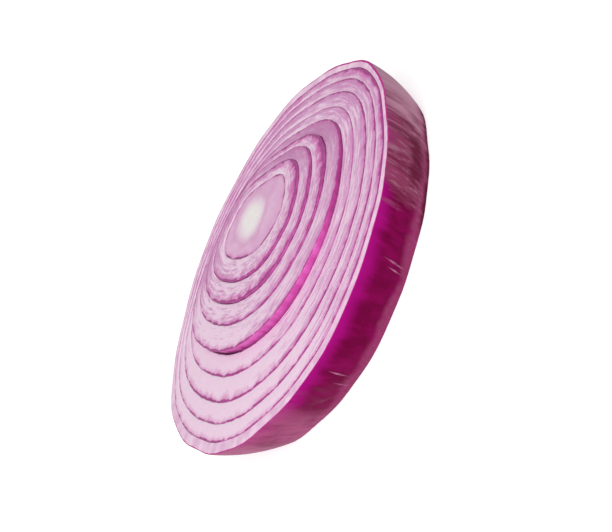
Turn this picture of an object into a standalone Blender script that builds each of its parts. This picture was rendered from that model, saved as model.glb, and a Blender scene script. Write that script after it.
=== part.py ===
"""A thick slice cut across a red onion, lying on the smaller of its two cut faces.

An onion is made of scales, one round the other. A cut across it turns each scale into a loose ring, so the
slice is nine rings nested round a pale core. Only their fit holds them together. The five pieces in the
middle have slid up a little, towards the wide face, where the rings are free to move.

Metres, +Z up. The origin is on the plane that the slice rests on, under the middle of its outline. The core
lies off centre, towards +Y: the rings are thin there and thick on the opposite side.
"""

import math
from itertools import accumulate

import bmesh
import bpy
from mathutils import Vector

MM = 0.001

# The slice as the knife left it. The onion's widest place is a little above the wide face, and its axis
# isn't quite square to the cuts: the lower face's middle lies further towards +X.
SLICE_THICKNESS = 10.2 * MM
EQUATOR_ABOVE_SLICE = 4.0 * MM
HALF_HEIGHT_OF_ONION = 31.0 * MM
HALF_HEIGHT_SHARE_AT_AXIS = 0.5
AXIS_SHIFT_PER_DEPTH = 0.12

# The core, whose middle is off the skin's, and which is narrower along X than along Y. Both die out towards
# the skin.
CORE_RADIUS = 10.27 * MM
CORE_MIDDLE = Vector((4.83 * MM, 14.55 * MM))
CORE_NARROWNESS = 0.168

# The scales on the wide face, from the core outwards: thickness on the thin side (+Y) and on the thick side
SCALES = [
    (thin * MM, thick * MM)
    for thin, thick in (
        (2.59, 4.98),
        (2.08, 4.56),
        (1.15, 5.11),
        (1.42, 6.00),
        (1.27, 4.77),
        (1.17, 5.82),
        (1.25, 4.48),
        (1.02, 3.97),
        (1.05, 2.29),
    )
]
SCALE_GAP = 0.3 * MM

# The slow waves that make each line between two scales an uneven oval: waves round the ring, then their
# height as a share of its radius and their phase, at the core and at the skin. A line between blends the two.
WAVES = (
    (2, 0.131, 1.69, 0.013, -1.99),
    (3, 0.028, 0.30, 0.012, -0.91),
    (4, 0.027, 2.25, 0.010, 1.28),
    (5, 0.021, 0.92, 0.003, 0.03),
    (7, 0.009, 2.41, 0.006, 0.60),
)

# Low ribs that run up the skin and die out a scale or two inside it
RIB_COUNT = 17
RIB_HEIGHT = 0.12 * MM
RIB_FADE = 8

# How the middle pieces have slid up. Each entry moves every piece as far out as its number (0 is the core):
# how far at the middle, how much more at the edge of the loose group, and the direction of that high side
LOOSE_GROUP = 4
SLIDES = (
    (LOOSE_GROUP, 0.85 * MM, 0.80 * MM, math.radians(210.0)),
    (3, 0.32 * MM, 0.37 * MM, math.radians(18.0)),
    (2, 0.38 * MM, 0.0, 0.0),
    (1, 0.35 * MM, 0.0, 0.0),
)

# Points round each ring and steps up its walls; the skin has six points to each rib
SEGMENTS = 72
SKIN_SEGMENTS = RIB_COUNT * 6
WALL_STEPS = 2
SKIN_STEPS = 4
SHARP_EDGE = math.radians(35.0)

FLESH_COLOUR = (0.70, 0.47, 0.62)
CORE_COLOUR = (0.79, 0.69, 0.72)
SKIN_COLOUR = (0.26, 0.010, 0.11)
CUT_ROUGHNESS = 0.35
SKIN_ROUGHNESS = 0.3

# The lines between the pieces, from the core's to the skin: mean radius, share of the way in, and middle
RADII = list(accumulate(((thin + thick) / 2 for thin, thick in SCALES), initial=CORE_RADIUS))
INWARDNESS = [(RADII[-1] - radius) / (RADII[-1] - CORE_RADIUS) for radius in RADII]
MIDDLES_X = [CORE_MIDDLE.x * inner for inner in INWARDNESS]
MIDDLES_Y = accumulate(((thin - thick) / 2 for thin, thick in SCALES), initial=CORE_MIDDLE.y)
MIDDLES = [Vector(middle) for middle in zip(MIDDLES_X, MIDDLES_Y)]
SKIN = len(SCALES)


def narrowing(line, height):
    """The share of its wide face's width that a line keeps at this height, because a scale is a shell."""
    share = HALF_HEIGHT_SHARE_AT_AXIS + (1 - HALF_HEIGHT_SHARE_AT_AXIS) * RADII[line] / RADII[SKIN]
    half_height = HALF_HEIGHT_OF_ONION * share
    top = EQUATOR_ABOVE_SLICE / half_height
    here = (EQUATOR_ABOVE_SLICE + SLICE_THICKNESS - height) / half_height
    return math.sqrt((1 - here * here) / (1 - top * top))


def waviness(angle, inner):
    """How far a line stands out at this angle, as a share of its radius."""
    total = 0.0
    for count, core_share, core_phase, skin_share, skin_phase in WAVES:
        total += core_share * inner * math.cos(count * angle + core_phase)
        total += skin_share * (1 - inner) * math.cos(count * angle + skin_phase)
    return total


def line_point(line, angle, height, outward):
    """A point of a line, moved outward by a distance, as seen from the middle of the skin."""
    inner = INWARDNESS[line]
    rib = RIB_HEIGHT * math.cos(RIB_COUNT * angle) * (1 - inner) ** RIB_FADE
    reach = RADII[line] * (1 + waviness(angle, inner)) * narrowing(line, height) + rib + outward
    narrowness = CORE_NARROWNESS * inner * inner
    x = MIDDLES[line].x + AXIS_SHIFT_PER_DEPTH * (SLICE_THICKNESS - height)
    x += reach * (1 - narrowness) * math.cos(angle)
    y = MIDDLES[line].y + reach * math.sin(angle)
    return Vector((x, y))


def middle_of_outline():
    """The middle of the box round the widest outline, which becomes the origin."""
    angles = [math.tau * step / SKIN_SEGMENTS for step in range(SKIN_SEGMENTS)]
    points = [line_point(SKIN, angle, SLICE_THICKNESS, 0.0) for angle in angles]
    xs = [point.x for point in points]
    ys = [point.y for point in points]
    return Vector(((min(xs) + max(xs)) / 2, (min(ys) + max(ys)) / 2))


ORIGIN = middle_of_outline()


def slide(piece, point):
    """How far up the piece has slid at this point. The outer rings haven't moved."""
    from_middle = (point + ORIGIN - MIDDLES[LOOSE_GROUP]) / RADII[LOOSE_GROUP]
    up = 0.0
    for outermost, at_middle, tilt, high_side in SLIDES:
        if piece <= outermost:
            up += at_middle + tilt * from_middle.dot(Vector((math.cos(high_side), math.sin(high_side))))
    return up


def loop_of(bm, piece, line, height, outward, segments):
    """The closed loop of vertices of one line at one height, on the piece where it now sits."""
    loop = []
    for step in range(segments):
        angle = math.tau * step / segments
        flat = line_point(line, angle, height, outward) - ORIGIN
        loop.append(bm.verts.new((flat.x, flat.y, height + slide(piece, flat))))
    return loop


def wall(bm, piece, line, outward, segments, steps):
    """The loops of one side of a piece, from the lower cut face to the upper one."""
    heights = [SLICE_THICKNESS * step / steps for step in range(steps + 1)]
    return [loop_of(bm, piece, line, height, outward, segments) for height in heights]


def join_loops(bm, first, second):
    """Quads between two loops that run the same way round."""
    for step, start in enumerate(first):
        following = (step + 1) % len(first)
        bm.faces.new((start, first[following], second[following], second[step]))


def finish_piece(bm, name, colour, roughness):
    """Makes the object, with its faces out, its curved walls smooth and its own material."""
    bmesh.ops.recalc_face_normals(bm, faces=bm.faces)
    mesh = bpy.data.meshes.new(name)
    bm.to_mesh(mesh)
    bm.free()
    mesh.shade_smooth()
    mesh.set_sharp_from_angle(angle=SHARP_EDGE)
    material = bpy.data.materials.new(name)
    material.use_nodes = True
    surface = material.node_tree.nodes["Principled BSDF"]
    surface.inputs["Base Color"].default_value = (*colour, 1.0)
    surface.inputs["Roughness"].default_value = roughness
    surface.inputs["Metallic"].default_value = 0.0
    mesh.materials.append(material)
    piece = bpy.data.objects.new(name, mesh)
    bpy.context.scene.collection.objects.link(piece)
    return piece


def make_core():
    """The pale middle: a solid oval plug that narrows downwards."""
    bm = bmesh.new()
    side = wall(bm, 0, 0, -SCALE_GAP / 2, SEGMENTS, WALL_STEPS)
    for lower, upper in zip(side, side[1:]):
        join_loops(bm, lower, upper)
    bm.faces.new(side[0])
    bm.faces.new(side[-1])
    return finish_piece(bm, "core", CORE_COLOUR, CUT_ROUGHNESS)


def make_ring(piece):
    """One scale cut to a ring of flesh: two curved walls and a cut face at each end."""
    bm = bmesh.new()
    outside = wall(bm, piece, piece, -SCALE_GAP / 2, SEGMENTS, WALL_STEPS)
    inside = wall(bm, piece, piece - 1, SCALE_GAP / 2, SEGMENTS, WALL_STEPS)
    around = outside + inside[::-1]
    for loop, following in zip(around, around[1:] + around[:1]):
        join_loops(bm, loop, following)
    return finish_piece(bm, f"ring_{piece}", FLESH_COLOUR, CUT_ROUGHNESS)


def make_outer_ring():
    """The outermost scale, thin and finely ribbed, whose outside is the onion's purple skin."""
    bm = bmesh.new()
    outside = wall(bm, SKIN, SKIN, 0.0, SKIN_SEGMENTS, SKIN_STEPS)
    inside = wall(bm, SKIN, SKIN - 1, SCALE_GAP / 2, SKIN_SEGMENTS, WALL_STEPS)
    around = outside + inside[::-1]
    for loop, following in zip(around, around[1:] + around[:1]):
        join_loops(bm, loop, following)
    return finish_piece(bm, "outer_ring", SKIN_COLOUR, SKIN_ROUGHNESS)


def main():
    for old in list(bpy.data.objects):
        bpy.data.objects.remove(old)
    make_core()
    for piece in range(1, SKIN):
        make_ring(piece)
    make_outer_ring()


main()
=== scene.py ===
"""The looks of a thick slice cut across a red onion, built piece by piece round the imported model.

The slice lies on its smaller cut face, wide face up. The pieces follow from the middle outwards: the core,
eight rings of flesh, and the outermost ring with the purple skin.
"""

import math
from itertools import accumulate
from types import SimpleNamespace

import bmesh
import bpy
from mathutils import Matrix, Vector


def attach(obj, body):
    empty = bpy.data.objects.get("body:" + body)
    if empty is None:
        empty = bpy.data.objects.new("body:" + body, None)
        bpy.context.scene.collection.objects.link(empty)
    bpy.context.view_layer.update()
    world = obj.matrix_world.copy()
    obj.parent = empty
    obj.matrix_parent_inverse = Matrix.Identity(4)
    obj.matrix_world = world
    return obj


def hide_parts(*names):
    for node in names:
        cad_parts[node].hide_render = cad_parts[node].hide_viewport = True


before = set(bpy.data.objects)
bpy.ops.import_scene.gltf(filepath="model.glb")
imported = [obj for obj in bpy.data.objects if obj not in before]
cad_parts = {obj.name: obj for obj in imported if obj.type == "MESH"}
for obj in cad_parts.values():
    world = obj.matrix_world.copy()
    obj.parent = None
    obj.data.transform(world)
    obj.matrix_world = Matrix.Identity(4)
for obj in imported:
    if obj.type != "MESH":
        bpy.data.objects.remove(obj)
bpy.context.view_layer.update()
MM = 0.001


# The core is the soft middle of the onion, where the youngest scales are still one pale plug. The knife cut
# it across, and it sits in the first ring by its fit alone. It has slid a little out of the wide face.

SLICE_THICKNESS = 10.2 * MM
EQUATOR_ABOVE_SLICE = 4.0 * MM
HALF_HEIGHT_OF_ONION = 31.0 * MM
HALF_HEIGHT_SHARE_AT_AXIS = 0.5
AXIS_SHIFT_PER_DEPTH = 0.12
CORE_RADIUS = 10.27 * MM
SKIN_RADIUS = 37.76 * MM
CORE_MIDDLE = Vector((4.83 * MM, 14.55 * MM))
CORE_NARROWNESS = 0.168
OUTLINE_MIDDLE = Vector((0.6548 * MM, -0.1757 * MM))
WAVES = (  # waves round the ring, then height as a share of the radius and phase, at the core and at the skin
    (2, 0.131, 1.69, 0.013, -1.99),
    (3, 0.028, 0.30, 0.012, -0.91),
    (4, 0.027, 2.25, 0.010, 1.28),
    (5, 0.021, 0.92, 0.003, 0.03),
    (7, 0.009, 2.41, 0.006, 0.60),
)
FILM_GAP = 0.06 * MM
CUT_EDGE_RADIUS = 0.13 * MM
CORNER_STEPS = 3
RIB_FADE = 8
FINE_RIB_WIDTH = 0.5 * MM
FINE_RIB_LAYER = 900.0
WOBBLE_LENGTH = 2.2 * MM
WOBBLE_HEIGHT = 9 * MM
WOBBLE_LAYER = 777.0
MERGE_DISTANCE = 0.001 * MM
ROUNDING = 0.0001
SWELL_POWER = 0.7
HEAVY_SIDE_POWER = 3
BLUSH_POWER = 10


class Number:
    """A number in a node tree. Reckoning with it adds the Math nodes that work it out."""

    def __init__(self, socket):
        self.socket = socket

    def __add__(self, other):
        return work_out("ADD", self, other)

    def __radd__(self, other):
        return work_out("ADD", other, self)

    def __sub__(self, other):
        return work_out("SUBTRACT", self, other)

    def __rsub__(self, other):
        return work_out("SUBTRACT", other, self)

    def __mul__(self, other):
        return work_out("MULTIPLY", self, other)

    def __rmul__(self, other):
        return work_out("MULTIPLY", other, self)

    def __truediv__(self, other):
        return work_out("DIVIDE", self, other)

    def __rtruediv__(self, other):
        return work_out("DIVIDE", other, self)

    def __pow__(self, other):
        return work_out("POWER", self, other)


def feed(socket, value):
    """Joins a worked-out number to a socket, or sets the socket to a plain value."""
    if isinstance(value, Number):
        socket.id_data.links.new(value.socket, socket)
    elif isinstance(value, bpy.types.NodeSocket):
        socket.id_data.links.new(value, socket)
    else:
        socket.default_value = value


def work_out(operation, *numbers):
    """The result of one Math node."""
    tree = next(number.socket.id_data for number in numbers if isinstance(number, Number))
    node = tree.nodes.new("ShaderNodeMath")
    node.operation = operation
    for socket, number in zip(node.inputs, numbers):
        feed(socket, number)
    return Number(node.outputs[0])


def cos(angle):
    return work_out("COSINE", angle)


def sin(angle):
    return work_out("SINE", angle)


def blend(share, first, second):
    """The first number where share is 0, the second where it is 1."""
    return first + share * (second - first)


def ramp(value, low, high, smooth=True):
    """0 below low and 1 above high, or the other way round when low is the higher."""
    tree = value.socket.id_data
    node = tree.nodes.new("ShaderNodeMapRange")
    node.interpolation_type = "SMOOTHSTEP" if smooth else "LINEAR"
    swapped = not isinstance(low, Number) and not isinstance(high, Number) and low > high
    feed(node.inputs["Value"], value)
    feed(node.inputs["From Min"], high if swapped else low)
    feed(node.inputs["From Max"], low if swapped else high)
    feed(node.inputs["To Min"], 1.0 if swapped else 0.0)
    feed(node.inputs["To Max"], 0.0 if swapped else 1.0)
    return Number(node.outputs["Result"])


def point(tree, x, y, z):
    """A vector socket with these three numbers."""
    node = tree.nodes.new("ShaderNodeCombineXYZ")
    for socket, number in zip(node.inputs, (x, y, z)):
        feed(socket, number)
    return node.outputs[0]


def parts_of(tree, vector):
    """The x, y and z of a vector socket, as numbers."""
    node = tree.nodes.new("ShaderNodeSeparateXYZ")
    feed(node.inputs[0], vector)
    return [Number(output) for output in node.outputs]


def noise(tree, place, scale, detail=2.0, roughness=0.5):
    """Smooth noise from about 0.25 to 0.75, with the middle at 0.5."""
    node = tree.nodes.new("ShaderNodeTexNoise")
    node.noise_dimensions = "3D"
    feed(node.inputs["Vector"], place)
    feed(node.inputs["Scale"], scale)
    feed(node.inputs["Detail"], detail)
    feed(node.inputs["Roughness"], roughness)
    return Number(node.outputs["Fac"])


SCALE_INPUTS = (
    ("Inside Radius", "NodeSocketFloat"),
    ("Inside Middle", "NodeSocketVector"),
    ("Outside Radius", "NodeSocketFloat"),
    ("Outside Middle", "NodeSocketVector"),
    ("Solid Middle", "NodeSocketBool"),
    ("Thickness", "NodeSocketFloat"),
    ("Gap Inside", "NodeSocketFloat"),
    ("Gap Outside", "NodeSocketFloat"),
    ("Slide", "NodeSocketFloat"),
    ("Slide Slope", "NodeSocketVector"),
    ("Edge Radius", "NodeSocketFloat"),
    ("Bulge", "NodeSocketFloat"),
    ("Unevenness", "NodeSocketFloat"),
    ("Wobble", "NodeSocketFloat"),
    ("Rib Count", "NodeSocketFloat"),
    ("Rib Height", "NodeSocketFloat"),
    ("Fine Rib Height", "NodeSocketFloat"),
    ("Points Around", "NodeSocketInt"),
    ("Wall Steps", "NodeSocketInt"),
    ("Face Steps", "NodeSocketInt"),
    ("Ink", "NodeSocketFloat"),
    ("Ink On Heavy Side", "NodeSocketFloat"),
    ("Heavy Side", "NodeSocketFloat"),
    ("Blush", "NodeSocketFloat"),
    ("Blush Side", "NodeSocketFloat"),
    ("Seed", "NodeSocketFloat"),
    ("Material", "NodeSocketMaterial"),
)


def make_scale_tree():
    """Geometry nodes that bend a grid round the section of one scale, as the onion's growth gives it."""
    tree = bpy.data.node_groups.new("onion_scale_cut_across", "GeometryNodeTree")
    tree.is_modifier = True
    tree.interface.new_socket("Geometry", in_out="INPUT", socket_type="NodeSocketGeometry")
    tree.interface.new_socket("Geometry", in_out="OUTPUT", socket_type="NodeSocketGeometry")
    for name, kind in SCALE_INPUTS:
        tree.interface.new_socket(name, in_out="INPUT", socket_type=kind)
    given = tree.nodes.new("NodeGroupInput").outputs
    plain_numbers = ("NodeSocketFloat", "NodeSocketInt")
    size = {name: Number(given[name]) for name, kind in SCALE_INPUTS if kind in plain_numbers}

    # a grid one unit wide: its first side runs round the ring, its second round the section
    steps = size["Wall Steps"] + size["Face Steps"]
    grid = tree.nodes.new("GeometryNodeMeshGrid")
    grid.inputs["Size X"].default_value = 1.0
    grid.inputs["Size Y"].default_value = 1.0
    feed(grid.inputs["Vertices X"], size["Points Around"] + 1)
    feed(grid.inputs["Vertices Y"], steps * 2 + 1)
    along_grid, across_grid, _ = parts_of(tree, tree.nodes.new("GeometryNodeInputPosition").outputs[0])
    angle = (along_grid + 0.5) * math.tau
    row = work_out("FLOOR", (across_grid + 0.5) * steps * 2 + 0.5)

    # the section: up the inner wall, over the wide face, and then the same two turned end for end
    half = work_out("FLOOR", row / steps + ROUNDING)
    turned = work_out("MODULO", half, 2.0)
    step = row - half * steps
    on_face = work_out("GREATER_THAN", step, size["Wall Steps"] - 0.5)
    side_steps = blend(on_face, size["Wall Steps"], size["Face Steps"])
    share = (step - on_face * size["Wall Steps"]) / side_steps
    corner = CORNER_STEPS / side_steps

    def line_shape(radius, middle, outward):
        """What one line between two scales is like all the way down: a function from height to its point."""
        inner = (SKIN_RADIUS - radius) / (SKIN_RADIUS - CORE_RADIUS)
        inner = work_out("MAXIMUM", work_out("MINIMUM", inner, 1.0), 0.0)
        wave = 1.0
        for count, core_share, core_phase, skin_share, skin_phase in WAVES:
            at_skin = skin_share * cos(angle * count + skin_phase)
            wave = wave + blend(inner, at_skin, core_share * cos(angle * count + core_phase))
        on_skin = (1.0 - inner) ** RIB_FADE
        rib = size["Rib Height"] * cos(angle * size["Rib Count"]) * on_skin
        turn_x = cos(angle) * radius
        turn_y = sin(angle) * radius
        fine_place = point(tree, turn_x / FINE_RIB_WIDTH, turn_y / FINE_RIB_WIDTH, radius * FINE_RIB_LAYER)
        rib = rib + size["Fine Rib Height"] * on_skin * (noise(tree, fine_place, 0.5, detail=3.0) - 0.5) * 2
        share_at_radius = HALF_HEIGHT_SHARE_AT_AXIS + radius * ((1 - HALF_HEIGHT_SHARE_AT_AXIS) / SKIN_RADIUS)
        half_height = HALF_HEIGHT_OF_ONION * share_at_radius
        top = EQUATOR_ABOVE_SLICE / half_height
        narrowness = 1.0 - CORE_NARROWNESS * inner * inner
        middle_x, middle_y, _ = parts_of(tree, middle)

        def at(height):
            here = (EQUATOR_ABOVE_SLICE + SLICE_THICKNESS - height) / half_height
            narrowing = work_out("SQRT", (1.0 - here * here) / (1.0 - top * top))
            wobble_layer = radius * WOBBLE_LAYER + height / WOBBLE_HEIGHT
            wobble_place = point(tree, turn_x / WOBBLE_LENGTH, turn_y / WOBBLE_LENGTH, wobble_layer)
            wobble = (noise(tree, wobble_place, 1.0, detail=4.0, roughness=0.75) - 0.5) * 2 * size["Wobble"]
            reach = radius * wave * narrowing + rib + outward + wobble
            x = middle_x + AXIS_SHIFT_PER_DEPTH * (SLICE_THICKNESS - height) + reach * narrowness * cos(angle)
            y = middle_y + reach * sin(angle)
            return x - OUTLINE_MIDDLE.x, y - OUTLINE_MIDDLE.y

        return at

    inside = line_shape(size["Inside Radius"], given["Inside Middle"], size["Gap Inside"])
    outside = line_shape(size["Outside Radius"], given["Outside Middle"], size["Gap Outside"] * -1.0)
    inner_x, inner_y = inside(size["Thickness"])
    outer_x, outer_y = outside(size["Thickness"])
    across_x = outer_x - inner_x
    across_y = outer_y - inner_y
    width = work_out("SQRT", across_x * across_x + across_y * across_y)

    # along the side and in from it, with a quarter of a circle at each corner
    solid = tree.nodes.new("GeometryNodeSwitch")
    solid.input_type = "FLOAT"
    feed(solid.inputs["Switch"], given["Solid Middle"])
    feed(solid.inputs["False"], size["Edge Radius"])
    solid.inputs["True"].default_value = 0.0
    inside_radius = Number(solid.outputs[0])
    first_radius = blend(on_face, size["Edge Radius"], blend(turned, inside_radius, size["Edge Radius"]))
    last_radius = blend(on_face, size["Edge Radius"], blend(turned, size["Edge Radius"], inside_radius))
    length = blend(on_face, size["Thickness"], width)
    first_turn = work_out("MAXIMUM", 1.0 - share / corner, 0.0) * (math.pi / 4)
    last_turn = work_out("MAXIMUM", (share - 1.0 + corner) / corner, 0.0) * (math.pi / 4)
    straight = ramp((share - corner) / (1.0 - corner * 2.0), 0.0, 1.0, smooth=False)
    along = first_radius * (1.0 - sin(first_turn)) + straight * (length - first_radius - last_radius)
    along = (along + last_radius * sin(last_turn)) / length
    inset = first_radius * (1.0 - cos(first_turn)) + last_radius * (1.0 - cos(last_turn))
    across = blend(on_face, inset / width, along)
    up = blend(on_face, along, 1.0 - inset / size["Thickness"])
    across = blend(turned, across, 1.0 - across)
    up = blend(turned, up, 1.0 - up)

    # the turgid flesh swells out of the wide cut, and the knife left it a little uneven
    height = up * size["Thickness"]
    inner_x, inner_y = inside(height)
    outer_x, outer_y = outside(height)
    x = blend(across, inner_x, outer_x)
    y = blend(across, inner_y, outer_y)
    uneven_place = point(tree, x / MM, y / MM, size["Seed"])
    uneven = (noise(tree, uneven_place, 0.35, detail=4.0, roughness=0.55) - 0.5) * 2 * size["Unevenness"]
    middle_of_face = 1.0 - (across * 2.0 - 1.0) * (across * 2.0 - 1.0)
    swell = size["Bulge"] * work_out("MAXIMUM", middle_of_face, 0.0) ** SWELL_POWER
    slope_x, slope_y, _ = parts_of(tree, given["Slide Slope"])
    slide = size["Slide"] + slope_x * x + slope_y * y
    z = height + slide + (swell + uneven * ramp(middle_of_face, 0.0, 0.3)) * ramp(up, 0.5, 1.0)

    # what the materials read is stored before the grid moves, because it is worked out from the flat grid
    heavy = (cos(angle - size["Heavy Side"]) * 0.5 + 0.5) ** HEAVY_SIDE_POWER
    blushing = (cos(angle - size["Blush Side"]) * 0.5 + 0.5) ** BLUSH_POWER
    marks = {
        "across": across,
        "from_outside": (1.0 - across) * width / MM,
        "from_inside": across * width / MM,
        "rise": up,
        "ink": size["Ink"] + size["Ink On Heavy Side"] * heavy,
        "blush": size["Blush"] * blushing,
    }
    mesh = grid.outputs["Mesh"]
    for name, value in marks.items():
        store = tree.nodes.new("GeometryNodeStoreNamedAttribute")
        store.data_type = "FLOAT"
        store.domain = "POINT"
        store.inputs["Name"].default_value = name
        feed(store.inputs["Geometry"], mesh)
        feed(store.inputs["Value"], value)
        mesh = store.outputs[0]

    # a solid middle has no inner wall: its faces close at a point
    on_inner_wall = tree.nodes.new("FunctionNodeBooleanMath")
    on_inner_wall.operation = "AND"
    feed(on_inner_wall.inputs[0], given["Solid Middle"])
    feed(on_inner_wall.inputs[1], work_out("LESS_THAN", (across_grid + 0.5) * steps * 2, size["Wall Steps"]))
    cleared = tree.nodes.new("GeometryNodeDeleteGeometry")
    cleared.domain = "FACE"
    feed(cleared.inputs["Geometry"], mesh)
    feed(cleared.inputs["Selection"], on_inner_wall.outputs[0])
    moved = tree.nodes.new("GeometryNodeSetPosition")
    feed(moved.inputs["Geometry"], cleared.outputs[0])
    feed(moved.inputs["Position"], point(tree, x, y, z))
    closed = tree.nodes.new("GeometryNodeMergeByDistance")
    feed(closed.inputs["Geometry"], moved.outputs[0])
    closed.inputs["Distance"].default_value = MERGE_DISTANCE
    smooth = tree.nodes.new("GeometryNodeSetShadeSmooth")
    feed(smooth.inputs["Geometry"], closed.outputs[0])
    real = tree.nodes.new("GeometryNodeRealizeInstances")
    feed(real.inputs["Geometry"], smooth.outputs[0])
    finished = tree.nodes.new("GeometryNodeSetMaterial")
    feed(finished.inputs["Geometry"], real.outputs[0])
    feed(finished.inputs["Material"], given["Material"])
    feed(tree.nodes.new("NodeGroupOutput").inputs[0], finished.outputs[0])
    return tree


scale_tree = make_scale_tree()


def grow_piece(name, sizes):
    """One cut scale: the tree is run with these sizes, and its result becomes a plain mesh with faces out."""
    empty_mesh = bpy.data.meshes.new(name)
    piece = bpy.data.objects.new(name + "_visual", empty_mesh)
    bpy.context.scene.collection.objects.link(piece)
    modifier = piece.modifiers.new("growth", "NODES")
    modifier.node_group = scale_tree
    for item in scale_tree.interface.items_tree:
        if item.in_out == "INPUT" and item.name in sizes:
            modifier[item.identifier] = sizes[item.name]
    bpy.context.view_layer.update()
    evaluated = piece.evaluated_get(bpy.context.evaluated_depsgraph_get())
    grown = bpy.data.meshes.new_from_object(evaluated)
    piece.modifiers.clear()
    piece.data = grown
    bm = bmesh.new()
    bm.from_mesh(grown)
    bmesh.ops.recalc_face_normals(bm, faces=bm.faces)
    bm.to_mesh(grown)
    bm.free()
    return piece


def new_material(name):
    """A material, with its node tree, its shader and the place on the object in metres."""
    material = bpy.data.materials.new(name)
    material.use_nodes = True
    tree = material.node_tree
    shader = tree.nodes["Principled BSDF"]
    place = tree.nodes.new("ShaderNodeTexCoord").outputs["Object"]
    return SimpleNamespace(material=material, tree=tree, shader=shader, place=place)


def mark(tree, name):
    """A number that the growth tree stored on the mesh."""
    node = tree.nodes.new("ShaderNodeAttribute")
    node.attribute_name = name
    return Number(node.outputs["Fac"])


def stretched(tree, place, scale):
    """The place with each axis stretched, for a pattern that runs one way."""
    node = tree.nodes.new("ShaderNodeMapping")
    node.vector_type = "POINT"
    feed(node.inputs["Vector"], place)
    feed(node.inputs["Scale"], scale)
    return node.outputs[0]


def paint(tree, share, under, over):
    """The colour under, with the colour over it where share is 1."""
    node = tree.nodes.new("ShaderNodeMix")
    node.data_type = "RGBA"
    factor, first, second = node.inputs["Factor"], node.inputs[6], node.inputs[7]
    feed(factor, share)
    for socket, colour in ((first, under), (second, over)):
        feed(socket, (*colour, 1.0) if isinstance(colour, tuple) else colour)
    return node.outputs[2]


def add_bump(look, height, strength, distance):
    """Low relief from a number, on top of what the shader's normal already has."""
    node = look.tree.nodes.new("ShaderNodeBump")
    node.inputs["Strength"].default_value = strength
    node.inputs["Distance"].default_value = distance
    feed(node.inputs["Height"], height)
    if look.shader.inputs["Normal"].is_linked:
        feed(node.inputs["Normal"], look.shader.inputs["Normal"].links[0].from_socket)
    feed(look.shader.inputs["Normal"], node.outputs["Normal"])


def wet_flesh(look):
    """Moist living flesh: light goes a little way in, and a thin film of juice shines softly on it."""
    look.shader.inputs["Subsurface Weight"].default_value = 0.35
    look.shader.inputs["Subsurface Radius"].default_value = (1.0, 0.45, 0.8)
    look.shader.inputs["Subsurface Scale"].default_value = 0.9 * MM
    look.shader.inputs["Specular IOR Level"].default_value = 0.35
    look.shader.inputs["Coat Weight"].default_value = 0.15
    look.shader.inputs["Coat Roughness"].default_value = 0.22
    cells = noise(look.tree, look.place, 3200.0, detail=2.0, roughness=0.6)
    grain = noise(look.tree, look.place, 900.0, detail=3.0, roughness=0.6)
    feed(look.shader.inputs["Roughness"], 0.34 + grain * 0.22)
    add_bump(look, cells * 0.5 + grain, 0.35, 0.05 * MM)


INK = (0.33, 0.032, 0.21)
BRIGHT_INK = (0.60, 0.10, 0.40)


def line_ink(tree, place, colour, from_outside, ink):
    """The purple outer skin of a scale: a jagged line at the cut edge that bleeds a little into the flesh."""
    jagged = noise(tree, place, 700.0, detail=3.0, roughness=0.7)
    broken = ramp(noise(tree, place, 330.0, detail=3.0, roughness=0.6), 0.34, 0.66)
    strength = ink * (0.40 + broken * 1.1)
    reach = 0.16 + strength * (jagged * 0.95)
    halo = ramp(from_outside / (0.3 + reach * 3.2), 1.0, 0.0) * (0.30 + strength * 0.55)
    colour = paint(tree, halo, colour, BRIGHT_INK)
    line = ramp(from_outside / reach, 1.2, 0.6) * ramp(strength, 0.05, 0.50)
    return paint(tree, line, colour, INK)


CORE_LILAC = (0.69, 0.35, 0.58)
CORE_PINK = (0.77, 0.50, 0.69)
CORE_LOOP = (0.66, 0.33, 0.53)
HEART_EDGE = (0.81, 0.67, 0.74)
HEART_WHITE = (0.84, 0.79, 0.78)
HEART_MIDDLE = Vector((3.9 * MM, 16.9 * MM))
HEART_REACH = Vector((5.4 * MM, 6.4 * MM))

core_look = new_material("core_flesh")
tree = core_look.tree
core_x, core_y, _ = parts_of(tree, core_look.place)
from_outside = mark(tree, "from_outside")
wave = (noise(tree, core_look.place, 260.0, detail=3.0) - 0.5) * 2
off_x = (core_x - HEART_MIDDLE.x) / HEART_REACH.x
off_y = (core_y - HEART_MIDDLE.y) / HEART_REACH.y
from_heart = work_out("SQRT", off_x * off_x + off_y * off_y) + wave * 0.24
colour = paint(tree, ramp(wave, -0.6, 0.8), CORE_LILAC, CORE_PINK)
colour = paint(tree, ramp(from_heart, 1.00, 0.45), colour, HEART_EDGE)
colour = paint(tree, ramp(from_heart, 0.85, 0.25), colour, HEART_WHITE)
loop = ramp(from_heart, 0.80, 0.97) * ramp(from_heart, 1.16, 1.0)
colour = paint(tree, loop * 0.5, colour, CORE_LOOP)
colour = line_ink(tree, core_look.place, colour, from_outside, mark(tree, "ink"))
feed(core_look.shader.inputs["Base Color"], colour)
wet_flesh(core_look)

WALL_STEPS = 14
LOOSE_GROUP = 4
LOOSE_GROUP_RADIUS = 24.215 * MM
LOOSE_GROUP_MIDDLE = Vector((2.38 * MM, 7.845 * MM))
SLIDES = (  # the outermost piece it moves, the way up at the middle, more at the edge, and the high side
    (LOOSE_GROUP, 0.85 * MM, 0.80 * MM, math.radians(210.0)),
    (3, 0.32 * MM, 0.37 * MM, math.radians(18.0)),
    (2, 0.38 * MM, 0.0, 0.0),
    (1, 0.35 * MM, 0.0, 0.0),
)


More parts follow.
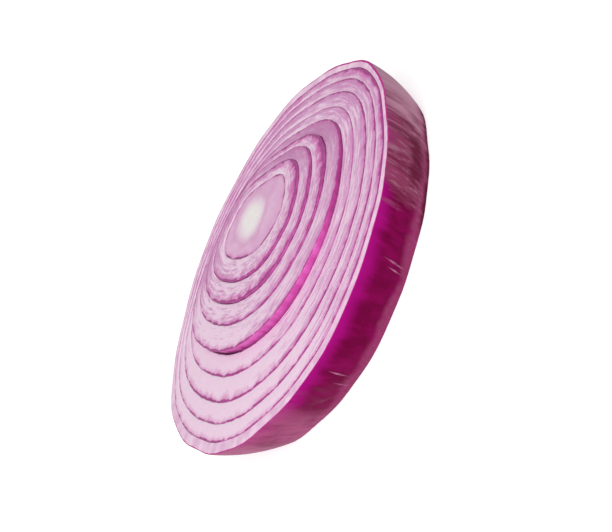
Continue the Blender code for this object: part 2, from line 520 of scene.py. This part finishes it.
def slide_of(piece):
    """The way that this piece has slid up at the origin, and how much more along X and along Y."""
    start = 0.0
    slope = Vector((0.0, 0.0, 0.0))
    for outermost, at_middle, tilt, high_side in SLIDES:
        if piece <= outermost:
            towards = Vector((math.cos(high_side), math.sin(high_side))) * (tilt / LOOSE_GROUP_RADIUS)
            start += at_middle + towards.dot(OUTLINE_MIDDLE - LOOSE_GROUP_MIDDLE)
            slope += towards.to_3d()
    return start, slope


core_slide, core_slope = slide_of(0)
core = grow_piece(
    "core",
    {
        "Inside Radius": 0.0,
        "Inside Middle": CORE_MIDDLE.to_3d(),
        "Outside Radius": CORE_RADIUS,
        "Outside Middle": CORE_MIDDLE.to_3d(),
        "Solid Middle": True,
        "Thickness": SLICE_THICKNESS,
        "Gap Outside": FILM_GAP / 2,
        "Slide": core_slide,
        "Slide Slope": core_slope,
        "Edge Radius": CUT_EDGE_RADIUS,
        "Bulge": 0.0,
        "Unevenness": 0.10 * MM,
        "Wobble": 0.30 * MM,
        "Points Around": 400,
        "Wall Steps": WALL_STEPS,
        "Face Steps": 60,
        "Ink": 0.36,
        "Ink On Heavy Side": 0.16,
        "Heavy Side": math.radians(215.0),
        "Seed": 0.0,
        "Material": core_look.material,
    },
)
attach(core, "root")
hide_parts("core")


# Rings 1 to 8 are the fleshy scales round the core. Each grew as a closed shell with a purple outer skin a
# hair thick, and the cut made it a ring of moist flesh. Only fit and a wet film hold one in the next.

SCALES = (  # thickness on the thin side (+Y) and on the thick side, from the core outwards
    (2.59 * MM, 4.98 * MM),
    (2.08 * MM, 4.56 * MM),
    (1.15 * MM, 5.11 * MM),
    (1.42 * MM, 6.00 * MM),
    (1.27 * MM, 4.77 * MM),
    (1.17 * MM, 5.82 * MM),
    (1.25 * MM, 4.48 * MM),
    (1.02 * MM, 3.97 * MM),
    (1.05 * MM, 2.29 * MM),
)
RIB_COUNT = 17.0
RIB_HEIGHT = 0.12 * MM
POINTS_PER_RADIUS = 27000
radii = list(accumulate(((thin + thick) / 2 for thin, thick in SCALES), initial=CORE_RADIUS))
middle_ys = accumulate(((thin - thick) / 2 for thin, thick in SCALES), initial=CORE_MIDDLE.y)
middles = []
for radius, middle_y in zip(radii, middle_ys):
    inner = max(0.0, (SKIN_RADIUS - radius) / (SKIN_RADIUS - CORE_RADIUS))
    middles.append(Vector((CORE_MIDDLE.x * inner, middle_y, 0.0)))

PALE_FLESH = (0.84, 0.61, 0.76)
LILAC_FLESH = (0.61, 0.27, 0.51)
INNER_LINING = (0.84, 0.66, 0.78)
BLUSHING_FLESH = (0.51, 0.18, 0.40)
BUNDLE_WHITE = (0.80, 0.74, 0.72)
# the walls of rings 1 to 3, and ring_4's wall towards +X, are painted darker as shade
INNER_RINGS_WALL_IN_PAINTED_SHADE = ((0.40, 0.05, 0.27), (0.56, 0.11, 0.40))
OUTER_RINGS_WALL = ((0.60, 0.07, 0.38), (0.76, 0.14, 0.54))
PAINTED_SHADE_WALL = (0.36, 0.02, 0.21)
RINGS_MIDDLE = Vector((2.5 * MM, 8.0 * MM))
WALL_STARTS = (0.07, 0.02)  # mm in from the outside: all flesh, and all wall

flesh_look = new_material("flesh")
tree = flesh_look.tree
across = mark(tree, "across")
from_outside = mark(tree, "from_outside")
from_inside = mark(tree, "from_inside")
cloud = noise(tree, flesh_look.place, 150.0, detail=4.0, roughness=0.6)
flesh_x, flesh_y, _ = parts_of(tree, flesh_look.place)
off_x = flesh_x - RINGS_MIDDLE.x
off_y = flesh_y - RINGS_MIDDLE.y
off_axis = work_out("SQRT", off_x * off_x + off_y * off_y)
fibre_layer = (from_inside + off_axis * 60.0) * 1.9
ring_place = point(tree, off_x / off_axis * 5.0, off_y / off_axis * 5.0, fibre_layer)
fibre = noise(tree, ring_place, 1.0, detail=4.0, roughness=0.65)
speck = noise(tree, flesh_look.place, 1300.0, detail=2.0, roughness=0.6)

# more lilac towards +X and along the thin side, paler across the outer rings at -X, and fibres round the ring
slow = flesh_x * 6.0 + ramp(flesh_y, 15 * MM, 32 * MM) * 0.35
slow = slow - ramp(flesh_x, -8 * MM, -24 * MM) * ramp(off_axis, 16 * MM, 22 * MM) * 0.50
blush = mark(tree, "blush")
shade = across * 0.55 + slow + 0.14 + (cloud - 0.5) * 0.6 + (fibre - 0.5) * 3.0 + (speck - 0.5) * 0.5
colour = paint(tree, ramp(shade, 0.05, 0.85), PALE_FLESH, LILAC_FLESH)
colour = paint(tree, ramp(from_inside, 0.55, 0.05) * 0.45, colour, INNER_LINING)
colour = paint(tree, blush * (0.65 + fibre * 0.5), colour, BLUSHING_FLESH)

# the cut ends of the pale fibre bundles that run up through each scale
bundle = tree.nodes.new("ShaderNodeTexVoronoi")
bundle.inputs["Scale"].default_value = 620.0
feed(bundle.inputs["Vector"], stretched(tree, flesh_look.place, (1.0, 1.0, 0.05)))
bundle_middle = Number(bundle.outputs["Distance"])
bundle_band = ramp(across, 0.35, 0.5) * ramp(across, 0.75, 0.6)
colour = paint(tree, ramp(bundle_middle, 0.20, 0.08) * bundle_band * 0.35, colour, BUNDLE_WHITE)
colour = line_ink(tree, flesh_look.place, colour, from_outside, mark(tree, "ink"))

# the bared outer walls, brightest where ring_4 stands out of the outer rings; painted shade makes the walls
# of rings 1 to 3 darker, and ring_4's wall darker towards +X
wall_tone = noise(tree, stretched(tree, flesh_look.place, (1.0, 1.0, 0.15)), 500.0, detail=3.0)
inner_wall = paint(tree, ramp(wall_tone, 0.35, 0.65), *INNER_RINGS_WALL_IN_PAINTED_SHADE)
outer_wall = paint(tree, ramp(wall_tone, 0.35, 0.65), *OUTER_RINGS_WALL)
outer_wall = paint(tree, ramp(flesh_x, 1 * MM, 16 * MM) * 0.75, outer_wall, PAINTED_SHADE_WALL)
wall_colour = paint(tree, ramp(off_axis, 20.5 * MM, 22.0 * MM), inner_wall, outer_wall)
colour = paint(tree, ramp(from_outside, *WALL_STARTS), colour, wall_colour)
feed(flesh_look.shader.inputs["Base Color"], colour)
wet_flesh(flesh_look)

LINES = (  # ink all round, more ink on the heavy side, that side, blush and its side, for each ring
    (0.45, 0.95, math.radians(320.0), 0.00, 0.0),
    (0.50, 0.70, math.radians(235.0), 1.00, math.radians(0.0)),
    (0.45, 0.95, math.radians(340.0), 0.00, 0.0),
    (0.55, 0.10, math.radians(200.0), 1.00, math.radians(355.0)),
    (0.22, 0.42, math.radians(205.0), 0.00, 0.0),
    (0.50, 0.40, math.radians(230.0), 0.15, math.radians(0.0)),
    (0.38, 0.25, math.radians(240.0), 0.25, math.radians(5.0)),
    (0.40, 0.65, math.radians(345.0), 0.25, math.radians(0.0)),
)
for number, (ink, heavy_ink, heavy_side, blush, blush_side) in enumerate(LINES, start=1):
    ring_slide, ring_slope = slide_of(number)
    ring = grow_piece(
        f"ring_{number}",
        {
            "Inside Radius": radii[number - 1],
            "Inside Middle": middles[number - 1],
            "Outside Radius": radii[number],
            "Outside Middle": middles[number],
            "Thickness": SLICE_THICKNESS,
            "Gap Inside": FILM_GAP / 2,
            "Gap Outside": FILM_GAP / 2,
            "Slide": ring_slide,
            "Slide Slope": ring_slope,
            "Edge Radius": CUT_EDGE_RADIUS,
            "Bulge": 0.10 * MM,
            "Unevenness": 0.09 * MM,
            "Wobble": 0.30 * MM,
            "Rib Count": RIB_COUNT,
            "Rib Height": RIB_HEIGHT,
            "Points Around": int(radii[number] * POINTS_PER_RADIUS),
            "Wall Steps": WALL_STEPS,
            "Face Steps": 36,
            "Ink": ink,
            "Ink On Heavy Side": heavy_ink,
            "Heavy Side": heavy_side,
            "Blush": blush,
            "Blush Side": blush_side,
            "Seed": number * 3.7,
            "Material": flesh_look.material,
        },
    )
    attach(ring, "root")
    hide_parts(f"ring_{number}")


# The outer ring is the ninth scale, thin and firm, and its outside is the deep magenta skin that gives the
# onion its colour. The dry papery layer over it was peeled off. It holds the rings inside it by its fit.

DEEP_SKIN = (0.125, 0.0006, 0.034)
DEEP_STREAK = (0.19, 0.0012, 0.065)
PAINTED_LIGHT_SKIN = (0.33, 0.003, 0.17)
MAUVE_SKIN = (0.23, 0.045, 0.10)
ROSE_SKIN = (0.37, 0.075, 0.19)
PALE_STREAK = (0.42, 0.20, 0.29)
MAROON_SKIN = (0.10, 0.0015, 0.025)
REFLECTION_PINK = (0.34, 0.06, 0.17)
SCUFF_AND_HIGHLIGHT_PINK = (0.55, 0.24, 0.38)
ROSE_PATCH = (-152.0, 14.0, 18.0)  # of each patch of skin: its direction, spread and softness in degrees
FAR_ROSE_PATCH = (95.0, 30.0, 30.0)
MAUVE_PATCH = (-38.0, 21.0, 7.0)
MAUVE_END = (-20.0, 6.0, 40.0)
PALE_END = (-17.0, 3.0, 14.0)
MAROON_MARK = (-46.0, 4.0, 7.0)
PAINTED_SHADE_FOOT = (-40.0, 20.0, 12.0)
THIN_SKIN = (-8.0, 26.0, 24.0)
RIM_FLESH = ((0.70, 0.43, 0.61), (0.82, 0.60, 0.74))
SKIN_LINE = (0.46, 0.03, 0.25)
# pale streaks up the skin, partly real scuffs and partly painted highlights
SCUFF_AND_HIGHLIGHT_CURVE = 0.18
SCUFFS_AND_HIGHLIGHTS = (  # angle in degrees and height of its middle, reach round the skin, width up it in mm, and slope
    (280.5, 3.9, 0.60, 1.3, 6.0),
    (278.5, 3.2, 0.45, 0.9, 5.0),
    (246.5, 4.8, 0.55, 1.1, 5.5),
    (243.0, 2.8, 0.50, 0.9, 4.5),
    (118.0, 4.0, 0.55, 1.0, 5.0),
    (36.0, 5.5, 0.50, 1.0, -5.0),
)

skin_look = new_material("skin")
tree = skin_look.tree
skin_x, skin_y, skin_z = parts_of(tree, skin_look.place)
height = skin_z / MM
angle = work_out("ARCTAN2", skin_y, skin_x)
turn = angle * (180.0 / math.pi)
from_outside = mark(tree, "from_outside")
long_place = stretched(tree, skin_look.place, (1.0, 1.0, 0.04))
fine_place = stretched(tree, skin_look.place, (1.0, 1.0, 0.05))
patch_place = stretched(tree, skin_look.place, (1.0, 1.0, 0.5))
long_streak = noise(tree, long_place, 420.0, detail=4.0, roughness=0.65)
fine_streak = noise(tree, fine_place, 1300.0, detail=3.0, roughness=0.6)
patch = noise(tree, patch_place, 110.0, detail=3.0, roughness=0.5)
drift = (patch - 0.5) * 40.0 + (long_streak - 0.5) * 30.0
level = height + (patch - 0.5) * 3.0 + (long_streak - 0.5) * 2.5


def near_angle(middle, spread, softness):
    """1 within spread degrees of a direction on the skin, falling to 0 over softness degrees."""
    away = work_out("ABSOLUTE", work_out("WRAP", turn + drift - middle, -180.0, 180.0))
    return ramp(away, spread + softness, spread)


colour = paint(tree, ramp(long_streak, 0.35, 0.68), DEEP_SKIN, DEEP_STREAK)
# painted highlight: the skin is brighter purple-pink towards the wide face
colour = paint(tree, ramp(level, 6.6, 10.2) * 0.85, colour, PAINTED_LIGHT_SKIN)
rose = work_out("MAXIMUM", near_angle(*ROSE_PATCH), near_angle(*FAR_ROSE_PATCH) * 0.6)
rose_strength = 0.35 + ramp(patch, 0.35, 0.65) * 0.5 + ramp(long_streak, 0.4, 0.6) * 0.3
colour = paint(tree, rose * rose_strength, colour, ROSE_SKIN)
# the mauve +X end of the skin with its dark and pale streaks: partly the skin's own tone and partly a painted
# reflection of the white room at a grazing angle
mauve = work_out("MAXIMUM", near_angle(*MAUVE_PATCH), near_angle(*MAUVE_END))
colour = paint(tree, mauve * (0.6 + ramp(fine_streak, 0.30, 0.62) * 0.4), colour, MAUVE_SKIN)
colour = paint(tree, mauve * ramp(long_streak, 0.60, 0.40) * 0.55, colour, MAROON_SKIN)
colour = paint(tree, mauve * ramp(fine_streak, 0.50, 0.72) * 0.5, colour, PALE_STREAK)
colour = paint(tree, near_angle(*PALE_END) * (0.3 + long_streak), colour, PALE_STREAK)
# a dark maroon mark low down near the +X end of the skin
colour = paint(tree, near_angle(*MAROON_MARK) * ramp(level, 6.0, 4.0) * 0.8, colour, MAROON_SKIN)
# a painted reflection of the white floor: greyish pink along the foot of the skin
painted_reflection = ramp(level, 3.0, 1.2) * (0.35 + fine_streak * 0.7)
colour = paint(tree, painted_reflection * 0.8, colour, REFLECTION_PINK)
# painted shade: the foot of the skin is darker maroon at the +X end, under the overhang
colour = paint(tree, near_angle(*PAINTED_SHADE_FOOT) * ramp(level, 1.6, 0.4), colour, MAROON_SKIN)
# the pale streaks: partly scuffs, partly painted highlights
for streak_angle, streak_height, streak_length, streak_width, lean in SCUFFS_AND_HIGHLIGHTS:
    turned = work_out("WRAP", turn - streak_angle, -180.0, 180.0)
    along_skin = turned * (math.tau / 360.0 * SKIN_RADIUS / MM)
    off_line = (height - streak_height) - along_skin * lean - along_skin * along_skin * SCUFF_AND_HIGHLIGHT_CURVE
    scuff_and_highlight = ramp(work_out("ABSOLUTE", off_line), streak_width * 1.6, streak_width * 0.3)
    scuff_and_highlight = scuff_and_highlight * ramp(work_out("ABSOLUTE", along_skin), streak_length / 2, streak_length / 5)
    colour = paint(tree, scuff_and_highlight * (0.2 + ramp(fine_streak, 0.35, 0.60) * 0.4), colour, SCUFF_AND_HIGHLIGHT_PINK)
skin_colour = colour

rim_flesh = noise(tree, skin_look.place, 300.0, detail=4.0, roughness=0.6)
colour = paint(tree, ramp(rim_flesh, 0.35, 0.65), *RIM_FLESH)
thin_skin = near_angle(*THIN_SKIN)
skin_line = ramp(from_outside + (rim_flesh - 0.5) * 0.3 - thin_skin * 0.22, 0.32, 0.14)
colour = paint(tree, skin_line, colour, SKIN_LINE)
colour = paint(tree, ramp(from_outside, *WALL_STARTS), colour, skin_colour)
feed(skin_look.shader.inputs["Base Color"], colour)
skin_look.shader.inputs["Subsurface Weight"].default_value = 0.0
skin_look.shader.inputs["Specular IOR Level"].default_value = 0.015
skin_look.shader.inputs["Coat Weight"].default_value = 0.0
feed(skin_look.shader.inputs["Roughness"], 0.26 + fine_streak * 0.25)
add_bump(skin_look, fine_streak, 0.5, 0.05 * MM)

outer_ring = grow_piece(
    "outer_ring",
    {
        "Inside Radius": radii[8],
        "Inside Middle": middles[8],
        "Outside Radius": radii[9],
        "Outside Middle": middles[9],
        "Thickness": SLICE_THICKNESS,
        "Gap Inside": FILM_GAP / 2,
        "Gap Outside": 0.0,
        "Edge Radius": CUT_EDGE_RADIUS,
        "Bulge": 0.05 * MM,
        "Unevenness": 0.05 * MM,
        "Wobble": 0.06 * MM,
        "Rib Count": RIB_COUNT,
        "Rib Height": RIB_HEIGHT,
        "Fine Rib Height": 0.07 * MM,
        "Points Around": 1122,
        "Wall Steps": 24,
        "Face Steps": 20,
        "Seed": 33.3,
        "Material": skin_look.material,
    },
)
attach(outer_ring, "root")
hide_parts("outer_ring")


# The studio: a plain white floor, one wide soft lamp overhead and an even white room round it.

FLOOR_HALF_WIDTH = 3.0
floor_mesh = bpy.data.meshes.new("floor")
corners = [(x * FLOOR_HALF_WIDTH, y * FLOOR_HALF_WIDTH, 0.0) for x, y in ((-1, -1), (1, -1), (1, 1), (-1, 1))]
floor_mesh.from_pydata(corners, [], [(0, 1, 2, 3)])
floor = bpy.data.objects.new("floor", floor_mesh)
bpy.context.scene.collection.objects.link(floor)
floor_look = new_material("floor_white")
floor_look.shader.inputs["Base Color"].default_value = (0.50, 0.50, 0.50, 1.0)
floor_look.shader.inputs["Roughness"].default_value = 0.9
floor_look.shader.inputs["Specular IOR Level"].default_value = 0.0
floor_look.shader.inputs["Emission Color"].default_value = (1.0, 1.0, 1.0, 1.0)
floor_look.shader.inputs["Emission Strength"].default_value = 0.72
floor_mesh.materials.append(floor_look.material)

lamp_data = bpy.data.lights.new("overhead_softbox", "AREA")
lamp_data.shape = "SQUARE"
lamp_data.size = 0.45
lamp_data.energy = 3.6
lamp = bpy.data.objects.new("overhead_softbox", lamp_data)
bpy.context.scene.collection.objects.link(lamp)
LAMP_PLACE = Vector((-0.10, -0.46, 0.46))
lamp.matrix_world = Matrix.Translation(LAMP_PLACE) @ LAMP_PLACE.to_track_quat("Z", "Y").to_matrix().to_4x4()

world = bpy.data.worlds.new("white_room")
bpy.context.scene.world = world
world.use_nodes = True
world.node_tree.nodes["Background"].inputs["Color"].default_value = (1.0, 1.0, 1.0, 1.0)
world.node_tree.nodes["Background"].inputs["Strength"].default_value = 0.50
bpy.context.scene.view_settings.view_transform = "Standard"

# The camera looks down on the slice at a low angle, and leans, so that the wide face stands up in the
# picture.

ELEVATION = math.radians(21.15)
LEAN = math.radians(23.47)
CAMERA_DISTANCE = 1.0
SIGHT = Vector((0.0, 0.0, SLICE_THICKNESS / 2))
upright = Vector((0.0, math.sin(ELEVATION), math.cos(ELEVATION)))
sideways = Vector((1.0, 0.0, 0.0))
right = math.sin(LEAN) * sideways - math.cos(LEAN) * upright
up = math.cos(LEAN) * sideways + math.sin(LEAN) * upright
back = right.cross(up)
camera_data = bpy.data.cameras.new("camera")
camera_data.lens = 331.0
camera_data.sensor_width = 36.0
camera = bpy.data.objects.new("camera", camera_data)
bpy.context.scene.collection.objects.link(camera)
turned_camera = Matrix((right, up, back)).transposed().to_4x4()
camera.matrix_world = Matrix.Translation(SIGHT + back * CAMERA_DISTANCE) @ turned_camera
bpy.context.scene.camera = camera
